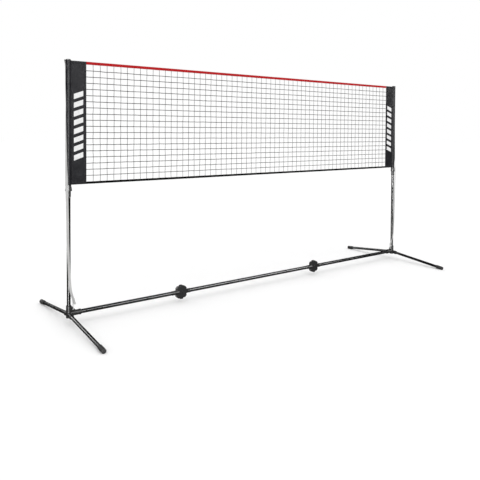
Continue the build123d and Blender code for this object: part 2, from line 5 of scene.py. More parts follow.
import bmesh
import bpy
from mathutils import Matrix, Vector


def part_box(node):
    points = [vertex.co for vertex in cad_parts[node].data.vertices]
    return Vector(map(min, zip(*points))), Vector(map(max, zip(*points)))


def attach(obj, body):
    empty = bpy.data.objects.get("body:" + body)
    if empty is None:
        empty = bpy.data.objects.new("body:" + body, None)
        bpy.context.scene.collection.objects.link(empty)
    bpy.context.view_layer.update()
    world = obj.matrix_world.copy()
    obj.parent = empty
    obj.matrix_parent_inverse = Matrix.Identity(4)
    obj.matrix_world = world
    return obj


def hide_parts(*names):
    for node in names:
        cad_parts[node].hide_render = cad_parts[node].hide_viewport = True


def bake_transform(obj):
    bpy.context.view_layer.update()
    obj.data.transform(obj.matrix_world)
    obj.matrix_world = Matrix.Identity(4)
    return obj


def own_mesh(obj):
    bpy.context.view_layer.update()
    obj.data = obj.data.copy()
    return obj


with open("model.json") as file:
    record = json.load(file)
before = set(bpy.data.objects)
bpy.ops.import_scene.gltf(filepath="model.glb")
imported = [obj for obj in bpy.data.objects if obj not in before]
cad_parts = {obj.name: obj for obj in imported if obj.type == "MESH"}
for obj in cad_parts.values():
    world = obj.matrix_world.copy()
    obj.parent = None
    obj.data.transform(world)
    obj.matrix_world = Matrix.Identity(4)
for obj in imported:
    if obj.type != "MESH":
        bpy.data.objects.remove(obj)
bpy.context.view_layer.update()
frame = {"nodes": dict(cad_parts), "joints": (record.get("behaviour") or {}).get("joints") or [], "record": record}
chance = random.Random(7)

# Which way along X points inward at each post.
SIDES = {"left": 1, "right": -1}
UPPER_BODY = {"left": "left_upper_post", "right": "right_upper_post"}
CLOTH_MAP = "cloth"

# ---------------------------------------------------------------- camera, stage and light

CAMERA_PLACE = (-2.642, -3.083, 1.139)
CAMERA_TURN = (math.radians(88.52), math.radians(-0.30), math.radians(-35.42))
CAMERA_LENS = 41.06
CAMERA_SHIFT = (0.0497, -0.1974)
CAMERA_SENSOR = 36
CAMERA_REACH = 200
FLOOR_HALF_SIZE = 60.0
FLOOR_DROP = 0.0005
# Each light is a name, a place, a target, a size and a power.
GLOSS_LIGHTS = (
    ("post_light", (-4.4, -4.9, 1.2), (-0.2, 0, 0.8), (1.3, 2.4), 1150),
    # This one stands below the floor, which glossy rays don't see, for the posts' feet.
    ("low_post_light", (-4.4, -4.9, -1.6), (-0.6, 0, 0.3), (1.3, 2.4), 350),
    ("bar_light", (2.6, -4.2, 2.6), (-0.4, 0, 0), (4.6, 1.3), 400),
    ("leg_light", (-3.4, 5.6, 3.0), (0, 0, 0), (3.4, 1.8), 150),
)


def make_camera():
    data = bpy.data.cameras.new("camera")
    data.sensor_width = CAMERA_SENSOR
    data.lens = CAMERA_LENS
    data.shift_x, data.shift_y = CAMERA_SHIFT
    data.clip_end = CAMERA_REACH
    camera = bpy.data.objects.new("camera", data)
    camera.location = CAMERA_PLACE
    camera.rotation_euler = CAMERA_TURN
    bpy.context.scene.collection.objects.link(camera)
    bpy.context.scene.camera = camera


def make_gloss_light(name, place, target, size, power):
    """A rectangular soft box that only adds highlights, on whatever mirrors it."""
    data = bpy.data.lights.new(name, "AREA")
    data.shape = "RECTANGLE"
    data.size, data.size_y = size
    data.energy = power
    light = bpy.data.objects.new(name, data)
    light.location = place
    light.rotation_euler = (Vector(target) - Vector(place)).to_track_quat("-Z", "Y").to_euler()
    light.visible_camera = False
    light.visible_diffuse = False
    bpy.context.scene.collection.objects.link(light)


def make_world(scattered, mirrored):
    """A white studio; what matt and glossy surfaces receive from it is weaker than it looks."""
    world = bpy.data.worlds.new("studio")
    world.use_nodes = True
    tree = world.node_tree
    background = tree.nodes["Background"]
    background.inputs["Color"].default_value = (1, 1, 1, 1)
    rays = tree.nodes.new("ShaderNodeLightPath")
    strength = background.inputs["Strength"]
    for ray, weaker in (("Is Diffuse Ray", scattered), ("Is Glossy Ray", mirrored)):
        share = tree.nodes.new("ShaderNodeMapRange")
        share.inputs["To Min"].default_value = 1.0
        share.inputs["To Max"].default_value = weaker
        tree.links.new(rays.outputs[ray], share.inputs["Value"])
        if strength.is_linked:
            product = tree.nodes.new("ShaderNodeMath")
            product.operation = "MULTIPLY"
            tree.links.new(strength.links[0].from_socket, product.inputs[0])
            tree.links.new(share.outputs["Result"], product.inputs[1])
            tree.links.new(product.outputs[0], strength)
        else:
            tree.links.new(share.outputs["Result"], strength)
    bpy.context.scene.world = world


def make_sky_light(power, spread, source):
    """A wide overhead light that also keeps the floor white out to the horizon."""
    data = bpy.data.lights.new("sky_light", "SUN")
    data.energy = power
    data.angle = math.radians(spread)
    light = bpy.data.objects.new("sky_light", data)
    light.rotation_euler = Vector(source).to_track_quat("Z", "Y").to_euler()
    bpy.context.scene.collection.objects.link(light)


# ---------------------------------------------------------------- materials

COAT_ROUGHNESS = 0.12
NOISE_LOW, NOISE_HIGH = 0.32, 0.68
EDGE_FLAT, EDGE_SHARP = 0.99, 0.8
EDGE_SAMPLES = 4
TWIST_PERIOD = 0.0018
PRINT_WEAVE = 0.0016


class Finish:
    """A procedural material; textures are laid out in metres, in the object's own frame."""

    def __init__(self, name, specular=0.5, coat=0.0, metallic=0.0):
        self.material = bpy.data.materials.new(name)
        self.material.use_nodes = True
        self.tree = self.material.node_tree
        self.shader = self.tree.nodes["Principled BSDF"]
        self.shader.inputs["Specular IOR Level"].default_value = specular
        self.shader.inputs["Coat Weight"].default_value = coat
        self.shader.inputs["Coat Roughness"].default_value = COAT_ROUGHNESS
        self.shader.inputs["Metallic"].default_value = metallic
        self.place = self.tree.nodes.new("ShaderNodeTexCoord").outputs["Object"]

    def put(self, socket, source):
        if isinstance(source, bpy.types.NodeSocket):
            self.tree.links.new(source, socket)
        else:
            socket.default_value = source

    def math(self, operation, first, second=0.0):
        node = self.tree.nodes.new("ShaderNodeMath")
        node.operation = operation
        self.put(node.inputs[0], first)
        self.put(node.inputs[1], second)
        return node.outputs[0]

    def noise(self, scale, detail=3.0, stretch=(1, 1, 1)):
        mapping = self.tree.nodes.new("ShaderNodeMapping")
        mapping.inputs["Scale"].default_value = stretch
        self.put(mapping.inputs["Vector"], self.place)
        node = self.tree.nodes.new("ShaderNodeTexNoise")
        node.inputs["Scale"].default_value = scale
        node.inputs["Detail"].default_value = detail
        self.put(node.inputs["Vector"], mapping.outputs["Vector"])
        return self.spread(node.outputs["Fac"], NOISE_LOW, NOISE_HIGH)

    def spread(self, source, low, high, new_low=0.0, new_high=1.0):
        node = self.tree.nodes.new("ShaderNodeMapRange")
        self.put(node.inputs["Value"], source)
        node.inputs["From Min"].default_value = low
        node.inputs["From Max"].default_value = high
        node.inputs["To Min"].default_value = new_low
        node.inputs["To Max"].default_value = new_high
        return node.outputs["Result"]

    def mix(self, factor, first, second):
        node = self.tree.nodes.new("ShaderNodeMix")
        node.data_type = "RGBA"
        self.put(node.inputs["Factor"], factor)
        self.put(node.inputs[6], colour(first))
        self.put(node.inputs[7], colour(second))
        return node.outputs[2]

    def bump(self, height, strength, distance, normal=None):
        node = self.tree.nodes.new("ShaderNodeBump")
        node.inputs["Strength"].default_value = strength
        node.inputs["Distance"].default_value = distance
        self.put(node.inputs["Height"], height)
        if normal is not None:
            self.put(node.inputs["Normal"], normal)
        return node.outputs["Normal"]

    def soft_edges(self, radius):
        """The normal with edges rounded off, and a mask that is 1 along those edges."""
        bevel = self.tree.nodes.new("ShaderNodeBevel")
        bevel.samples = EDGE_SAMPLES
        bevel.inputs["Radius"].default_value = radius
        geometry = self.tree.nodes.new("ShaderNodeNewGeometry")
        product = self.tree.nodes.new("ShaderNodeVectorMath")
        product.operation = "DOT_PRODUCT"
        self.put(product.inputs[0], bevel.outputs["Normal"])
        self.put(product.inputs[1], geometry.outputs["Normal"])
        mask = self.spread(product.outputs["Value"], EDGE_FLAT, EDGE_SHARP)
        return bevel.outputs["Normal"], mask

    def cloth_axes(self):
        """How far along the cloth's width and its length a point is, in metres."""
        cloth_map = self.tree.nodes.new("ShaderNodeUVMap")
        cloth_map.uv_map = CLOTH_MAP
        parts = self.tree.nodes.new("ShaderNodeSeparateXYZ")
        self.put(parts.inputs[0], cloth_map.outputs["UV"])
        return parts.outputs["X"], parts.outputs["Y"]

    def wave(self, along, period):
        return self.math("SINE", self.math("MULTIPLY", along, 2 * math.pi / period))

    def finish(self, base, roughness, normal):
        self.put(self.shader.inputs["Base Color"], base)
        self.put(self.shader.inputs["Roughness"], roughness)
        self.put(self.shader.inputs["Normal"], normal)
        return self.material


def colour(value):
    return (*value, 1.0) if isinstance(value, tuple) and len(value) == 3 else value


def grey(value, tint=1.0):
    return (value, value, value * tint)


def coated_tube():
    """Black powder coat: glossy, with a faint orange peel and dull handling marks."""
    look = Finish("black_powder_coat", specular=0.5, coat=0.25)
    marks = look.noise(9.0, 5.0, (1, 1, 0.4))
    base = look.mix(look.noise(40.0, 4.0), grey(0.002, 1.05), grey(0.006, 1.05))
    roughness = look.spread(marks, 0.0, 1.0, 0.18, 0.31)
    peel = look.bump(look.noise(420.0, 2.0), 0.10, 0.0003)
    return look.finish(base, roughness, peel)


def moulded(name, dark, light, worn, gloss, grain=0.12, edge=0.0009, specular=0.45):
    """Moulded plastic or rubber: fine grain, uneven sheen, and edges that are rubbed paler."""
    look = Finish(name, specular=specular)
    rounded, edges = look.soft_edges(edge)
    patches = look.noise(35.0, 4.0)
    rubbed = look.math("MULTIPLY", edges, look.noise(260.0, 3.0))
    base = look.mix(rubbed, look.mix(patches, dark, light), worn)
    roughness = look.spread(look.noise(90.0, 4.0), 0.0, 1.0, *gloss)
    surface = look.bump(look.noise(1900.0, 2.0), grain, 0.0002, rounded)
    return look.finish(base, roughness, surface)


def metal(name, dark, light, gloss, metallic):
    look = Finish(name, metallic=metallic)
    rounded, edges = look.soft_edges(0.0003)
    base = look.mix(edges, look.mix(look.noise(300.0, 4.0), dark, light), light)
    roughness = look.spread(look.noise(700.0, 4.0), 0.0, 1.0, *gloss)
    return look.finish(base, roughness, look.bump(look.noise(1600.0, 2.0), 0.1, 0.0001, rounded))


def woven(name, dark, light, across, along, relief, gloss, specular, slant=0.0):
    """Woven cloth. Its yarns cross at the two given periods; a slant turns it into twill."""
    look = Finish(name, specular=specular)
    u, v = look.cloth_axes()
    warp = look.wave(look.math("ADD", u, look.math("MULTIPLY", v, slant)), across)
    weft = look.wave(v, along)
    yarn = look.spread(look.math("MULTIPLY", warp, weft), -1.0, 1.0)
    fade = look.noise(14.0, 5.0)
    slub = look.noise(240.0, 3.0)
    tone = look.math("ADD", look.math("MULTIPLY", yarn, 0.35), look.math("MULTIPLY", fade, 0.4))
    tone = look.math("ADD", tone, look.math("MULTIPLY", slub, 0.25))
    base = look.mix(tone, dark, light)
    roughness = look.spread(slub, 0.0, 1.0, *gloss)
    height = look.math("ADD", yarn, look.math("MULTIPLY", slub, 0.6))
    return look.finish(base, roughness, look.bump(height, 0.55, relief))


def twisted_cord(name, dark, light):
    """Braided cord: a fine twist that crosses the strands at a slant."""
    look = Finish(name, specular=0.03)
    parts = look.tree.nodes.new("ShaderNodeSeparateXYZ")
    look.put(parts.inputs[0], look.place)
    x, y, z = (parts.outputs[axis] for axis in "XYZ")
    slanted = look.math("ADD", look.math("ADD", x, z), look.math("MULTIPLY", y, 2.0))
    twist = look.spread(look.wave(slanted, TWIST_PERIOD), -1.0, 1.0)
    fuzz = look.noise(900.0, 3.0)
    base = look.mix(look.math("MULTIPLY", twist, fuzz), dark, light)
    roughness = look.spread(fuzz, 0.0, 1.0, 0.6, 0.85)
    height = look.math("ADD", twist, fuzz)
    return look.finish(base, roughness, look.bump(height, 0.4, 0.0003))


def printed_ink(name, dark, light):
    """A screen print that sits in the weave and lets a little of it through."""
    look = Finish(name, specular=0.3)
    u, v = look.cloth_axes()
    yarn = look.math("MULTIPLY", look.wave(u, PRINT_WEAVE), look.wave(v, PRINT_WEAVE))
    base = look.mix(look.noise(60.0, 5.0), dark, light)
    roughness = look.spread(yarn, -1.0, 1.0, 0.5, 0.62)
    return look.finish(base, roughness, look.bump(yarn, 0.3, 0.0001))


def floor_finish():
    look = Finish("pale_floor", specular=0.1)
    base = look.mix(look.noise(1.5, 3.0), grey(0.94), grey(0.96))
    return look.finish(base, 0.9, look.bump(look.noise(60.0), 0.02, 0.0005))


# ---------------------------------------------------------------- mesh helpers


def add_piece(name, vertices, faces, material, uvs=None, smooth=True):
    """A mesh object; uvs gives one pair for each vertex."""
    mesh = bpy.data.meshes.new(name)
    mesh.from_pydata(vertices, [], faces)
    mesh.materials.append(material)
    if uvs is not None:
        layer = mesh.uv_layers.new(name=CLOTH_MAP)
        for loop in mesh.loops:
            layer.data[loop.index].uv = uvs[loop.vertex_index]
    for polygon in mesh.polygons:
        polygon.use_smooth = smooth
    mesh.validate()
    mesh.update()
    piece = bpy.data.objects.new(name, mesh)
    bpy.context.scene.collection.objects.link(piece)
    return piece


def grid_faces(rows, columns, start=0, wrap=False, flip=False):
    """Quads between rows of points; wrap closes each row on itself."""
    faces = []
    for r in range(rows - 1):
        for c in range(columns if wrap else columns - 1):
            a = start + r * columns + c
            b = start + r * columns + (c + 1) % columns
            quad = (a, b, b + columns, a + columns)
            faces.append(quad[::-1] if flip else quad)
    return faces


def tube_faces(rows, columns, start=0):
    """The faces of a closed tube: the quads round it and a cap on each end."""
    faces = grid_faces(rows, columns, start, wrap=True)
    faces.append(tuple(range(start + columns - 1, start - 1, -1)))
    faces.append(tuple(range(start + (rows - 1) * columns, start + rows * columns)))
    return faces


def add_tube(vertices, faces, points, radii, sides):
    """Adds a closed round tube along points that don't turn sharply."""
    start = len(vertices)
    count = len(points)
    side = None
    for i, (point, radius) in enumerate(zip(points, radii)):
        ahead = points[min(i + 1, count - 1)] - points[max(i - 1, 0)]
        ahead.normalize()
        if side is None:
            side = ahead.orthogonal()
        side = (side - ahead * side.dot(ahead)).normalized()
        up = ahead.cross(side)
        for k in range(sides):
            turn = 2 * math.pi * k / sides
            vertices.append(point + (side * math.cos(turn) + up * math.sin(turn)) * radius)
    faces.extend(tube_faces(count, sides, start))


THREAD_RADIUS = 0.0004
THREAD_SIDES = ((1, 0), (0, 1), (-1, 0), (0, -1))
STITCH_LIFT = 0.0003
STITCH_DIP = 0.4
STITCH_PROFILE = ((0.0, 0.25), (0.25, 1.0), (0.75, 1.0), (1.0, 0.25))
STITCH_PITCH, STITCH_LENGTH = 0.0042, 0.0030
STITCH_SCATTER = 0.0002


def add_stitch(vertices, faces, start, end, out):
    """Adds one visible stitch: a short bar of thread that dips into the cloth at both ends."""
    first = len(vertices)
    along = (end - start).normalized()
    across = along.cross(out).normalized()
    length = (end - start).length
    for share, fullness in STITCH_PROFILE:
        middle = start + along * length * share
        lift = out * STITCH_LIFT * (fullness - STITCH_DIP)
        for sign_across, sign_out in THREAD_SIDES:
            reach = across * sign_across + out * sign_out
            vertices.append(middle + lift + reach * THREAD_RADIUS * fullness)
    faces.extend(tube_faces(len(STITCH_PROFILE), len(THREAD_SIDES), first))


def stitch_line(
    vertices, faces, place, out, length, pitch=STITCH_PITCH, stitch=STITCH_LENGTH
):
    """Adds a row of stitches; place(distance) gives points on the cloth."""
    for i in range(int((length - stitch) / pitch) + 1):
        at = i * pitch + chance.uniform(-STITCH_SCATTER, STITCH_SCATTER)
        add_stitch(vertices, faces, place(at), place(at + stitch), out)


# ---------------------------------------------------------------- side bands

BAND_LAYER = 0.0006
BAND_HALF_CLOTH = 0.0004
BAND_RING = 0.01315
# These three are distances from the post's axis.
BAND_SEAM = 0.0160
BAND_SEAM_STITCH = 0.0192
BAND_END = 0.1084
BAND_HEM = 0.0125
BAND_HEM_RISE = 0.00035
BAND_HEM_ON_RING = 0.3
# The stations and rows where the cloth steps up onto a hem stand this far from its edge.
BAND_HEM_STEP_ACROSS = 0.0006
BAND_HEM_STEP_UP = 0.0005
# The first stations, by how far they stand from the free end.
BAND_END_STEPS = (0.0004, 0.004, 0.008)
# The cloth's outward direction at the free end's two corners, along the band and to a side.
BAND_END_OUT, BAND_END_SIDE = 0.9, 0.4
# The channel's tangents meet this far beyond the seam.
BAND_SEAM_EASE = 0.0006
BAND_WAVE = 0.0013
BAND_RING_STEPS = 36
BAND_PANEL_STEPS = 14
BAND_CALM = 0.03
BAND_END_SWAY = 0.25
# Each ripple is a share, a period along the height and a slant in turns per metre.
BAND_RIPPLES = ((1.0, 0.27, 4.0), (0.6, 0.121, -7.0), (0.35, 0.067, 3.0))
RIPPLE_SHARE = 0.55
# Each pucker is a depth, a period along the stitches and how fast that period drifts.
SEAM_PUCKER = (0.16, 0.0125, 40)
HEM_PUCKER = (0.12, 0.0142, 33)
PUCKER_REACH = 0.004
BAND_ROW_STEP = 0.0034
BAND_ROW_GAP = 0.001
BAND_STITCH_INSET = 0.0022
BAND_STITCH_RISE = 0.6
BAND_STITCH_END = 0.003
BAND_STITCH_START = 0.004
BAND_RIM = 0.0005
BAND_RIM_PINCH = 0.55
PRINT_NEAR, PRINT_FAR = 0.0325, 0.0895
PRINT_LOW, PRINT_HIGH = 0.150, 0.560
PRINT_BARS = 8
PRINT_BAR_SHARE = 0.60
PRINT_SLANT = 0.020
PRINT_PROUD = 0.00012
PRINT_STEPS_ACROSS, PRINT_STEPS_UP = 14, 8


def pucker(offset, z, form, phase):
    """Small gathers beside a row of stitches, which fade out with the offset from it."""
    depth, period, drift = form
    fade = depth * math.exp(-abs(offset) / PUCKER_REACH)
    return fade * math.sin(2 * math.pi * z / period + 2 * math.sin(z * drift + phase))


class Band:
    """One side band: a sleeve round the post and a doubled panel, hemmed on three sides."""

    def __init__(self, side):
        self.side = side
        self.inward = SIDES[side]
        low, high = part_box(side + "_band")
        self.bottom, self.top = low.z, high.z
        post_low, post_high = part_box(side + "_post_upper")
        self.post_x = (post_low.x + post_high.x) / 2
        # The ripples take three of these and the puckers two; the last is a spare.
        self.phases = [chance.uniform(0, 2 * math.pi) for _ in range(6)]

    def sway(self, a, z):
        """How far the panel stands off its plane at a distance from the post and a height."""
        grip = min(1.0, max(0.0, (a - BAND_SEAM) / BAND_CALM))
        grip *= min(1.0, max(BAND_END_SWAY, (BAND_END - a) / BAND_CALM))
        broad = 0.0
        for (share, period, slant), phase in zip(BAND_RIPPLES, self.phases):
            broad += share * math.sin(2 * math.pi * (z / period + a * slant) + phase)
        seam = pucker(a - BAND_SEAM_STITCH, z, SEAM_PUCKER, self.phases[3])
        hem = pucker(a - BAND_END + BAND_HEM, z, HEM_PUCKER, self.phases[4])
        return BAND_WAVE * (grip * broad * RIPPLE_SHARE + seam + hem)

    def point(self, a, y, z):
        return Vector((self.post_x + self.inward * a, y, z))

    def face_point(self, a, z, face):
        """A point on the panel's outer surface; face is -1 for the front."""
        return self.point(a, face * (BAND_LAYER + BAND_HALF_CLOTH) + self.sway(a, z), z)

    def section(self):
        """The loop's stations as (a, y, outward a, outward y), from the free end and back."""
        flat = [BAND_END - step for step in BAND_END_STEPS]
        hem_edge = BAND_END - BAND_HEM
        flat += [hem_edge + BAND_HEM_STEP_ACROSS, hem_edge - BAND_HEM_STEP_ACROSS]
        span = flat[-1] - BAND_SEAM
        flat += [flat[-1] - span * (i + 1) / BAND_PANEL_STEPS for i in range(BAND_PANEL_STEPS)]
        tangent = math.acos(BAND_RING / (BAND_SEAM + BAND_SEAM_EASE))
        stations = [(a, -BAND_LAYER, 0.0, -1.0) for a in flat]
        for i in range(BAND_RING_STEPS + 1):
            angle = -tangent - (2 * math.pi - 2 * tangent) * i / BAND_RING_STEPS
            out_a, out_y = math.cos(angle), math.sin(angle)
            stations.append((BAND_RING * out_a, BAND_RING * out_y, out_a, out_y))
        stations += [(a, BAND_LAYER, 0.0, 1.0) for a in reversed(flat)]
        for face in (1, -1):
            corner = face * BAND_LAYER / 2
            stations.append((BAND_END, corner, BAND_END_OUT, face * BAND_END_SIDE))
        return stations

    def heights(self):
        """Heights of the rows: close together at the hems' edges, even elsewhere."""
        edges = [self.bottom + BAND_HEM, self.top - BAND_HEM]
        steps = (-BAND_HEM_STEP_UP, BAND_HEM_STEP_UP)
        fixed = [self.bottom, self.bottom + BAND_ROW_GAP, self.top - BAND_ROW_GAP, self.top]
        fixed += [edge + step for edge in edges for step in steps]
        rows = list(fixed)
        count = int((self.top - self.bottom) / BAND_ROW_STEP)
        for i in range(1, count):
            z = self.bottom + (self.top - self.bottom) * i / count
            if min(abs(z - row) for row in fixed) > BAND_ROW_GAP:
                rows.append(z)
        return sorted(rows)

    def thickening(self, a, z):
        """The folded hems are thicker than the single cloth."""
        on_ring = a < BAND_SEAM
        near_end = a > BAND_END - BAND_HEM
        near_rim = z < self.bottom + BAND_HEM or z > self.top - BAND_HEM
        rise = BAND_HEM_RISE if near_end or near_rim else 0.0
        return rise * (BAND_HEM_ON_RING if on_ring else 1.0)

    def build(self, cloth):
        stations = self.section()
        heights = self.heights()
        columns, rows = len(stations), len(heights)
        lengths = [0.0]
        for before, after in zip(stations, stations[1:]):
            lengths.append(lengths[-1] + math.dist(before[:2], after[:2]))
        vertices, uvs = [], []
        for outer in (True, False):
            for z in heights:
                rim = min(z - self.bottom, self.top - z)
                pinch = 1.0 if rim > BAND_RIM else BAND_RIM_PINCH
                for (a, y, out_a, out_y), length in zip(stations, lengths):
                    reach = -BAND_HALF_CLOTH
                    if outer:
                        reach = BAND_HALF_CLOTH + self.thickening(a, z)
                    reach *= pinch
                    sway = self.sway(a, z) if a > BAND_SEAM else 0.0
                    vertices.append(self.point(a + out_a * reach, y + out_y * reach + sway, z))
                    uvs.append((length, z))
        outside = self.inward > 0
        faces = grid_faces(rows, columns, 0, wrap=True, flip=outside)
        inner = rows * columns
        faces += grid_faces(rows, columns, inner, wrap=True, flip=not outside)
        last = (rows - 1) * columns
        for c in range(columns):
            d = (c + 1) % columns
            bottom_rim = (c, d, inner + d, inner + c)
            top_rim = (last + d, last + c, inner + last + c, inner + last + d)
            for rim in (bottom_rim, top_rim):
                faces.append(rim if outside else rim[::-1])
        return add_piece(self.side + "_side_band", vertices, faces, cloth, uvs)

    def stitches(self, thread):
        vertices, faces = [], []
        tall = self.top - self.bottom
        wide = BAND_END - BAND_SEAM - BAND_STITCH_START
        lift = BAND_HEM_RISE * BAND_STITCH_RISE
        for face in (-1, 1):
            out = Vector((0, face, 0))
            hem_stitch = BAND_END - BAND_HEM + BAND_STITCH_INSET
            for a, rise in ((BAND_SEAM_STITCH, 0.0), (hem_stitch, lift)):
                def upright(distance, a=a, rise=rise, face=face, out=out):
                    z = self.bottom + BAND_STITCH_END + distance
                    return self.face_point(a, z, face) + out * rise
                stitch_line(vertices, faces, upright, out, tall - 2 * BAND_STITCH_END)
            rim_stitch = BAND_HEM - BAND_STITCH_INSET
            for z in (self.bottom + rim_stitch, self.top - rim_stitch):
                def level(distance, z=z, face=face, out=out):
                    a = BAND_SEAM + BAND_STITCH_START + distance
                    return self.face_point(a, z, face) + out * lift
                stitch_line(vertices, faces, level, out, wide)
        return add_piece(self.side + "_band_stitches", vertices, faces, thread)

    def print_marks(self, ink):
        """A column of plain slanted bars printed on both faces of the panel."""
        vertices, faces, uvs = [], [], []
        first = self.bottom + PRINT_LOW
        pitch = (self.bottom + PRINT_HIGH - first) / PRINT_BARS
        across, up = PRINT_STEPS_ACROSS, PRINT_STEPS_UP
        for face in (-1, 1):
            proud = Vector((0, face * PRINT_PROUD, 0))
            for bar in range(PRINT_BARS):
                start = len(vertices)
                for r in range(up + 1):
                    for c in range(across + 1):
                        a = PRINT_NEAR + (PRINT_FAR - PRINT_NEAR) * c / across
                        z = first + pitch * (bar + PRINT_BAR_SHARE * r / up)
                        z += PRINT_SLANT * (c / across - 0.5)
                        vertices.append(self.face_point(a, z, face) + proud)
                        uvs.append((a, z))
                flip = (face < 0) != (self.inward > 0)
                faces += grid_faces(up + 1, across + 1, start, flip=flip)
        return add_piece(self.side + "_band_print", vertices, faces, ink, uvs)


# ---------------------------------------------------------------- tapes and netting

TAPE_HALF = 0.0011
TAPE_HALF_CLOTH = 0.0003
TAPE_STEPS = 180
TAPE_FOLD_STEPS = 7
TAPE_STITCH_INSET = 0.003
TAPE_STITCH_END = 0.002
# How far down the stations stand below the fold, as shares of the tape's height.
TAPE_DROPS = (1.0, 0.8, 0.6, 0.4, 0.22)
# Each wave across the net is a size, a pace along it and a multiple of the tape's phase.
TAPE_WAVES = ((0.0007, 5.1, 1), (0.0004, 17.0, 2))
TAPE_RIPPLE, TAPE_RIPPLE_PACE = 0.0002, 61
NET_FIRST_COLUMN = 0.042
NET_COLUMN_PITCH = 0.045
NET_ROWS = 18
ROW_RADIUS = 0.00190
COLUMN_RADIUS = 0.00130
KNOT_RADIUS = 0.0028
KNOT_SQUEEZE = Vector((1.0, 0.62, 1.05))
KNOT_RINGS, KNOT_SIDES = 3, 6
KNOT_LUMPS = (0.88, 1.12)
NET_TUCK = 0.006
NET_SCATTER = (0.0012, 0.0006, 0.0007)
ROW_SLACK = Vector((0, 0, 0.0006))
COLUMN_SLACK = Vector((0.0007, 0, 0))
CORD_SIDES = 6
CORD_DRIFT = 0.0003
CORD_SAG = 0.3
CORD_FULLNESS = (0.93, 1.07)


def tape_section(width):
    """A folded tape in (y, distance from the fold): outer stations, then inner ones."""
    outer, inner = [], []
    half_out, half_in = TAPE_HALF + TAPE_HALF_CLOTH, TAPE_HALF - TAPE_HALF_CLOTH
    for half, stations in ((half_out, outer), (half_in, inner)):
        stations += [(-half, width * drop) for drop in TAPE_DROPS]
        for i in range(TAPE_FOLD_STEPS):
            angle = math.pi * (i + 0.5) / TAPE_FOLD_STEPS
            stations.append((-half * math.cos(angle), half_out - half * math.sin(angle)))
        stations += [(half, width * drop) for drop in reversed(TAPE_DROPS)]
    return outer + inner[::-1]


def make_tape(name, node, cloth, thread, fold_on_top):
    """A tape folded over an edge of the netting, and its two rows of stitches."""
    low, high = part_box(node)
    width = high.z - low.z
    section = tape_section(width)
    columns = len(section)
    phase = chance.uniform(0, 6)

    def sway(x):
        return sum(size * math.sin(x * pace + times * phase) for size, pace, times in TAPE_WAVES)

    def level(x, drop):
        ripple = TAPE_RIPPLE * math.sin(x * TAPE_RIPPLE_PACE + phase) * drop / width
        return high.z - drop + ripple if fold_on_top else low.z + drop - ripple

    vertices, uvs = [], []
    for i in range(TAPE_STEPS + 1):
        x = low.x + (high.x - low.x) * i / TAPE_STEPS
        for c, (y, drop) in enumerate(section):
            vertices.append(Vector((x, y + sway(x), level(x, drop))))
            uvs.append((x, c * width * 2 / columns))
    faces = grid_faces(TAPE_STEPS + 1, columns, wrap=True, flip=not fold_on_top)
    last = TAPE_STEPS * columns
    for end in (tuple(range(columns - 1, -1, -1)), tuple(range(last, last + columns))):
        faces.append(end if fold_on_top else end[::-1])
    tape = add_piece(name, vertices, faces, cloth, uvs)

    stitch_vertices, stitch_faces = [], []
    length = high.x - low.x - 2 * TAPE_STITCH_END
    for face in (-1, 1):
        def place(distance, face=face):
            x = low.x + TAPE_STITCH_END + distance
            y = face * (TAPE_HALF + TAPE_HALF_CLOTH) + sway(x)
            return Vector((x, y, level(x, width - TAPE_STITCH_INSET)))
        stitch_line(stitch_vertices, stitch_faces, place, Vector((0, face, 0)), length)
    stitches = add_piece(name + "_stitches", stitch_vertices, stitch_faces, thread)
    return tape, stitches


def add_knot(vertices, faces, centre, radius):
    """A small lumpy knot where two cords cross."""
    start = len(vertices)
    rings, sides = KNOT_RINGS, KNOT_SIDES
    lean = chance.uniform(0, math.pi)
    for r in range(rings):
        polar = math.pi * (r + 1) / (rings + 1)
        for k in range(sides):
            turn = 2 * math.pi * k / sides + lean
            lump = radius * chance.uniform(*KNOT_LUMPS)
            girth = math.sin(polar)
            spot = (girth * math.cos(turn), math.cos(polar), girth * math.sin(turn))
            vertices.append(centre + Vector([s * q * lump for s, q in zip(spot, KNOT_SQUEEZE)]))
    for pole in (1, -1):
        vertices.append(centre + Vector((0, pole * radius * KNOT_SQUEEZE.y, 0)))
    faces.extend(grid_faces(rings, sides, start, wrap=True))
    front, back = start + rings * sides, start + rings * sides + 1
    last = start + (rings - 1) * sides
    for k in range(sides):
        n = (k + 1) % sides
        faces.append((front, start + n, start + k))
        faces.append((back, last + k, last + n))


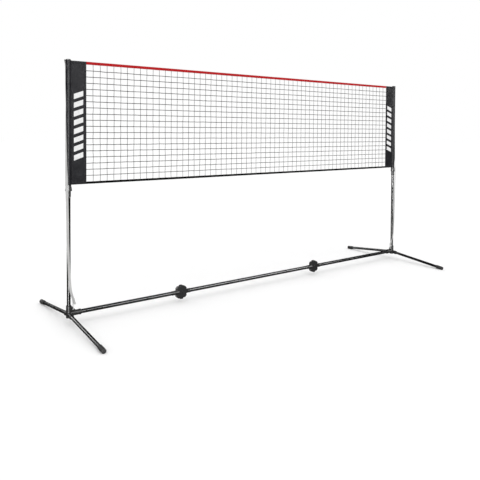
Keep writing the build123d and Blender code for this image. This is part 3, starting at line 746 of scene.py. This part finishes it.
def make_netting(cord):
    """Square knotted mesh between the tapes and the side bands."""
    low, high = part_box("netting")
    span = high.x - low.x - 2 * NET_FIRST_COLUMN
    columns = round(span / NET_COLUMN_PITCH) + 1
    pitch = span / (columns - 1)
    xs = [low.x + NET_FIRST_COLUMN + pitch * i for i in range(columns)]
    zs = [low.z + (high.z - low.z) * (j + 1) / (NET_ROWS + 1) for j in range(NET_ROWS)]

    def jitter(amount):
        return chance.uniform(-amount, amount)

    spots = {}
    for i, x in enumerate(xs):
        for j, z in enumerate(zs):
            spots[i, j] = Vector((x, 0, z)) + Vector([jitter(amount) for amount in NET_SCATTER])
    vertices, faces = [], []

    def run(stops, radius, slack):
        """A cord through its knots, with a little give between them."""
        points = []
        for a, b in zip(stops, stops[1:]):
            points.append(a)
            middle = (a + b) / 2
            give = Vector((slack.x * jitter(1.0), jitter(CORD_DRIFT), slack.z * jitter(1.0)))
            points.append(middle + give - Vector((0, 0, abs(slack.z) * CORD_SAG)))
        points.append(stops[-1])
        radii = [radius * chance.uniform(*CORD_FULLNESS) for _ in points]
        add_tube(vertices, faces, points, radii, CORD_SIDES)

    for j, z in enumerate(zs):
        first = Vector((low.x - NET_TUCK, 0, z))
        final = Vector((high.x + NET_TUCK, 0, z))
        run([first, *(spots[i, j] for i in range(columns)), final], ROW_RADIUS, ROW_SLACK)
    for i, x in enumerate(xs):
        first = Vector((x, 0, low.z - NET_TUCK))
        final = Vector((x, 0, high.z + NET_TUCK))
        run([first, *(spots[i, j] for j in range(NET_ROWS)), final], COLUMN_RADIUS, COLUMN_SLACK)
    for spot in spots.values():
        add_knot(vertices, faces, spot, KNOT_RADIUS)
    return add_piece("netting_mesh", vertices, faces, cord)


# ---------------------------------------------------------------- straps

STRAP_STEPS, STRAP_LOOP_STEPS = 8, 5
STRAP_HALF_WIDTH = 0.0073
STRAP_HALF_THICK = 0.00065
RIBBON_PROFILE = (
    (-1, 0), (-0.93, 0.8), (-0.5, 1), (0, 1), (0.5, 1), (0.93, 0.8),
    (1, 0), (0.93, -0.8), (0.5, -1), (0, -1), (-0.5, -1), (-0.93, -0.8),
)
# Each station is an offset inward and to the back, a height, and a turn in degrees.
STRAP_STATIONS = (
    (-0.0110, 0.0114, 1.538, 44.0),
    (-0.0129, 0.0086, 1.420, 56.0),
    (-0.0143, 0.0054, 1.310, 68.0),
    (-0.0153, 0.0, 1.120, 90.0),
    (-0.0153, -0.0053, 0.950, 112.0),
    (-0.0159, -0.0114, 0.842, 148.0),
    (-0.0160, -0.0135, 0.800, 160.0),
    (-0.0135, -0.0145, 0.727, 164.0),
    (-0.0114, -0.0146, 0.610, 166.0),
    (-0.0098, -0.0148, 0.492, 167.0),
    (-0.0055, -0.0152, 0.375, 169.0),
    (0.0005, -0.0156, 0.258, 171.0),
    (0.0065, -0.0150, 0.205, 173.5),
    (0.0160, -0.0122, 0.172, 177.0),
    (0.0257, -0.0086, 0.148, 180.0),
)
# The lug's distance from the post's axis.
LUG_RADIAL = 0.01584
# Each station is a distance outward from there and a height.
TOP_LOOP = (
    (0.0, 1.5150), (0.0, 1.5300), (0.0, 1.5420), (0.0004, 1.5462), (0.0016, 1.5478),
    (0.0034, 1.5481), (0.0048, 1.5470), (0.0054, 1.5445), (0.0050, 1.5380),
    (0.0034, 1.5300), (0.0017, 1.5220), (0.0014, 1.5110),
)
HOOK_LOOP_FOOT = 0.1238
# Each station is an offset to the back and a height.
HOOK_LOOP = (
    (-0.0103, 0.1560), (-0.0104, 0.1420), (-0.0109, 0.1320), (-0.0107, 0.1270), (-0.0098, 0.1245),
    (-0.0080, HOOK_LOOP_FOOT), (-0.0062, 0.1245), (-0.0053, 0.1270), (-0.0052, 0.1320),
    (-0.0060, 0.1400), (-0.0073, 0.1490),
)
HOOK_CENTRE = 0.0304
HOOK_LEAN = 0.2
TOP_STITCH_HEIGHTS = (1.5140, 1.5200)
TOP_STITCH_OUT = 0.0014
FOOT_STITCH_HEIGHTS = (0.1440, 0.1500)
FOOT_STITCH_BACK = -0.0103
STRAP_STITCH_ROW = 0.012
STRAP_STITCH_PITCH, STRAP_STITCH = 0.0027, 0.0020


def smooth_stations(stations, steps):
    """Points along a smooth curve through the stations, as a Catmull-Rom spline."""
    padded = [stations[0], *stations, stations[-1]]
    points = []
    for before, start, end, after in zip(padded, padded[1:], padded[2:], padded[3:]):
        for i in range(steps):
            t = i / steps
            points.append(
                tuple(
                    0.5 * (2 * q + (r - p) * t + (2 * p - 5 * q + 4 * r - s) * t**2
                           + (3 * q - p - 3 * r + s) * t**3)
                    for p, q, r, s in zip(before, start, end, after)
                )
            )
    points.append(stations[-1])
    return points


def ribbon(name, centres, widths, normals, cloth):
    """A webbing ribbon with rounded edges, from its centre line and its two cross directions."""
    vertices, uvs = [], []
    travelled = 0.0
    for i, (centre, width, normal) in enumerate(zip(centres, widths, normals)):
        if i:
            travelled += (centre - centres[i - 1]).length
        for across, out in RIBBON_PROFILE:
            sideways = across * STRAP_HALF_WIDTH
            vertices.append(centre + width * sideways + normal * out * STRAP_HALF_THICK)
            uvs.append((sideways, travelled))
    faces = tube_faces(len(centres), len(RIBBON_PROFILE))
    return add_piece(name, vertices, faces, cloth, uvs)


def fix_normals(piece):
    """Turns all faces outward."""
    work = bmesh.new()
    work.from_mesh(piece.data)
    bmesh.ops.recalc_face_normals(work, faces=work.faces)
    work.to_mesh(piece.data)
    work.free()


def loop_line(profile, place, ahead):
    """Centre points and outward normals for a strap that bends in an upright plane."""
    flat = smooth_stations(profile, STRAP_LOOP_STEPS)
    centres = [place(*station) for station in flat]
    normals = []
    for i in range(len(centres)):
        along = centres[min(i + 1, len(centres) - 1)] - centres[max(i - 1, 0)]
        rise = along.z
        reach = along.dot(ahead)
        normals.append((ahead * -rise + Vector((0, 0, reach))).normalized())
    return centres, normals


def make_strap(side, cloth, thread):
    """A strap, and with each of its ends the loop there and that loop's stitches."""
    inward = SIDES[side]
    low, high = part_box(side + "_post_lower")
    post = Vector(((low.x + high.x) / 2, 0, 0))

    centres, widths, normals = [], [], []
    for x, y, z, turn in smooth_stations(STRAP_STATIONS, STRAP_STEPS):
        angle = math.radians(turn)
        centres.append(post + Vector((inward * x, y, z)))
        widths.append(Vector((inward * math.cos(angle), math.sin(angle), 0)))
        normals.append(Vector((inward * math.sin(angle), -math.cos(angle), 0)))
    main = ribbon(side + "_tension_strap", centres, widths, normals, cloth)

    turn = math.radians(STRAP_STATIONS[0][3])
    width = Vector((inward * math.cos(turn), math.sin(turn), 0))
    out = Vector((-inward * math.sin(turn), math.cos(turn), 0))

    def top_place(radial, z):
        return post + out * (LUG_RADIAL + radial) + Vector((0, 0, z))

    centres, normals = loop_line(TOP_LOOP, top_place, out)
    top = ribbon(side + "_strap_top_loop", centres, [width] * len(centres), normals, cloth)

    def foot_place(y, z, shift=0.0):
        """The loop leans towards the post, in line with the strap."""
        lean = HOOK_LEAN * (z - HOOK_LOOP_FOOT)
        return post + Vector((inward * (HOOK_CENTRE - lean + shift), y, z))

    ahead = Vector((0, 1, 0))
    centres, normals = loop_line(HOOK_LOOP, foot_place, ahead)
    across = Vector((1, 0, 0))
    foot = ribbon(side + "_strap_hook_loop", centres, [across] * len(centres), normals, cloth)

    def stitch_rows(heights, place, out):
        vertices, faces = [], []
        for z in heights:
            def row(distance, z=z):
                return place(z, distance - STRAP_STITCH_ROW / 2)
            stitch_line(
                vertices, faces, row, out, STRAP_STITCH_ROW, STRAP_STITCH_PITCH, STRAP_STITCH
            )
        return vertices, faces

    def top_row(z, shift):
        return top_place(TOP_STITCH_OUT + STRAP_HALF_THICK, z) + width * shift

    vertices, faces = stitch_rows(TOP_STITCH_HEIGHTS, top_row, out)
    top_stitches = add_piece(side + "_strap_top_stitches", vertices, faces, thread)

    def foot_row(z, shift):
        return foot_place(FOOT_STITCH_BACK - STRAP_HALF_THICK, z, shift)

    vertices, faces = stitch_rows(FOOT_STITCH_HEIGHTS, foot_row, -ahead)
    foot_stitches = add_piece(side + "_strap_foot_stitches", vertices, faces, thread)

    for piece in (main, top, foot):
        fix_normals(piece)
    return main, (top, top_stitches), (foot, foot_stitches)


# ---------------------------------------------------------------- springs

SPRING_TURNS = 4
SPRING_WIRE = 0.0006
SPRING_STEPS = 28
SPRING_SIDES = 10


def find_joint(name):
    return next(joint for joint in frame["joints"] if joint["name"] == name)


def make_spring(side, steel):
    """The coil spring in a disc joint, fixed in place on the ground frame."""
    low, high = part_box(side + "_joint_spring")
    middle = (low + high) / 2
    radius = (high.x - low.x) / 2 - SPRING_WIRE
    rise = high.y - low.y - 2 * SPRING_WIRE
    count = SPRING_TURNS * SPRING_STEPS
    points = []
    for i in range(count + 1):
        turn = 2 * math.pi * i / SPRING_STEPS
        x = middle.x + radius * math.cos(turn)
        z = middle.z - radius * math.sin(turn)
        points.append(Vector((x, low.y + SPRING_WIRE + rise * i / count, z)))
    vertices, faces = [], []
    add_tube(vertices, faces, points, [SPRING_WIRE] * len(points), SPRING_SIDES)
    spring = add_piece(side + "_coil_spring", vertices, faces, steel)
    fix_normals(spring)
    travel = max(find_joint(side + "_joint_button_press")["range_m"])
    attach(spring, "ground_frame")
    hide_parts(side + "_joint_spring")
    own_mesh(spring)


# ---------------------------------------------------------------- the frame's own finishes


def dress_frame(looks):
    """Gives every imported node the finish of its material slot."""
    slots = {part["node"]: part["material_slot"] for part in frame["record"]["subparts"]}
    for name, node in frame["nodes"].items():
        for slot in node.material_slots:
            slot.material = looks[slots[name]]


LOOKS = {
    "black_tube": coated_tube(),
    "joint_plastic": moulded("joint_plastic", grey(0.010), grey(0.016), grey(0.045), (0.36, 0.50)),
    "collar_plastic": moulded(
        "collar_plastic", grey(0.010), grey(0.016), grey(0.045), (0.32, 0.46),
    ),
    "cap_plastic": moulded("cap_plastic", grey(0.010), grey(0.016), grey(0.045), (0.38, 0.52)),
    "bush_plastic": moulded(
        "bush_nylon", grey(0.50, 0.94), grey(0.58, 0.94), grey(0.62), (0.4, 0.5),
    ),
    "gear_plastic": moulded(
        "gear_nylon", grey(0.42, 0.95), grey(0.48, 0.95), grey(0.55), (0.4, 0.5),
    ),
    "button_plastic": moulded(
        "button_plastic", grey(0.014), grey(0.020), grey(0.06), (0.28, 0.38),
    ),
    "foot_rubber": moulded(
        "foot_rubber", grey(0.010), grey(0.017), grey(0.035), (0.60, 0.75), grain=0.25,
    ),
    "hook_plastic": moulded(
        "hook_plastic", grey(0.72, 0.99), grey(0.80, 0.99), grey(0.85), (0.2, 0.3), grain=0.03,
    ),
    "fastener_steel": metal("blackened_steel", grey(0.030), grey(0.075), (0.35, 0.5), 0.6),
    "spring_steel": metal("spring_steel", grey(0.42), grey(0.60), (0.22, 0.34), 1.0),
    "band_fabric": woven(
        "charcoal_cloth", grey(0.0060, 1.35), grey(0.0120, 1.35),
        across=0.0016, along=0.0016, relief=0.00022, gloss=(0.37, 0.49), specular=0.12,
    ),
    "net_cord": twisted_cord("net_cord", grey(0.002), grey(0.010)),
    "red_tape": woven(
        "red_tape", (0.35, 0.007, 0.009), (0.52, 0.016, 0.019),
        across=0.0014, along=0.0014, relief=0.0002, gloss=(0.7, 0.85), specular=0.03, slant=0.7,
    ),
    "black_tape": woven(
        "black_tape", grey(0.0008), grey(0.003),
        across=0.0014, along=0.0014, relief=0.0002, gloss=(0.75, 0.9), specular=0.03, slant=0.7,
    ),
    "strap_webbing": woven(
        "pale_webbing", grey(0.36, 0.99), grey(0.54, 0.99),
        across=0.0030, along=0.0018, relief=0.00035, gloss=(0.55, 0.7), specular=0.2, slant=0.5,
    ),
}
THREADS = {
    "dark": twisted_cord("dark_thread", grey(0.02), grey(0.06)),
    "red": twisted_cord("red_thread", (0.30, 0.004, 0.005), (0.55, 0.01, 0.012)),
    "pale": twisted_cord("pale_thread", grey(0.40), grey(0.62)),
}
dress_frame(LOOKS)

# ---------------------------------------------------------------- assembly

make_camera()
make_world(scattered=0.96, mirrored=0.05)
make_sky_light(power=0.55, spread=50, source=(-0.3, -0.45, 1.0))
for gloss_light in GLOSS_LIGHTS:
    make_gloss_light(*gloss_light)
floor_corners = [
    (x * FLOOR_HALF_SIZE, y * FLOOR_HALF_SIZE, -FLOOR_DROP)
    for x, y in ((-1, -1), (1, -1), (1, 1), (-1, 1))
]
floor = add_piece("studio_floor", floor_corners, [(0, 1, 2, 3)], floor_finish(), smooth=False)
floor.visible_glossy = False

ink = printed_ink("white_print", grey(0.70), grey(0.82))
for side in SIDES:
    band = Band(side)
    cloth = band.build(LOOKS["band_fabric"])
    stitches = band.stitches(THREADS["dark"])
    marks = band.print_marks(ink)
    for piece in (cloth, stitches, marks):
        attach(piece, UPPER_BODY[side])
    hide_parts(side + "_band")

    strap, top_ends, foot_ends = make_strap(side, LOOKS["strap_webbing"], THREADS["pale"])
    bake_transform(strap)
    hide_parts(side + "_strap")
    for piece in top_ends:
        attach(piece, UPPER_BODY[side])
    for piece in foot_ends:
        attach(piece, "ground_frame")
    for piece in (strap, *top_ends, *foot_ends):
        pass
    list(top_ends)
    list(foot_ends)

for side in SIDES:
    make_spring(side, LOOKS["spring_steel"])

netting = make_netting(LOOKS["net_cord"])
top_tape, top_stitches = make_tape(
    "top_net_tape", "top_tape", LOOKS["red_tape"], THREADS["red"], fold_on_top=True
)
bottom_tape, bottom_stitches = make_tape(
    "bottom_net_tape", "bottom_tape", LOOKS["black_tape"], THREADS["dark"], fold_on_top=False
)
for piece in (netting, top_tape, top_stitches, bottom_tape, bottom_stitches):
    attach(piece, "left_upper_post")
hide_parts("netting")
for tape, stitches, node, slot in (
    (top_tape, top_stitches, "top_tape", "red_tape"),
    (bottom_tape, bottom_stitches, "bottom_tape", "black_tape"),
):
    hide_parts(node)

bpy.context.scene.view_settings.view_transform = "Standard"
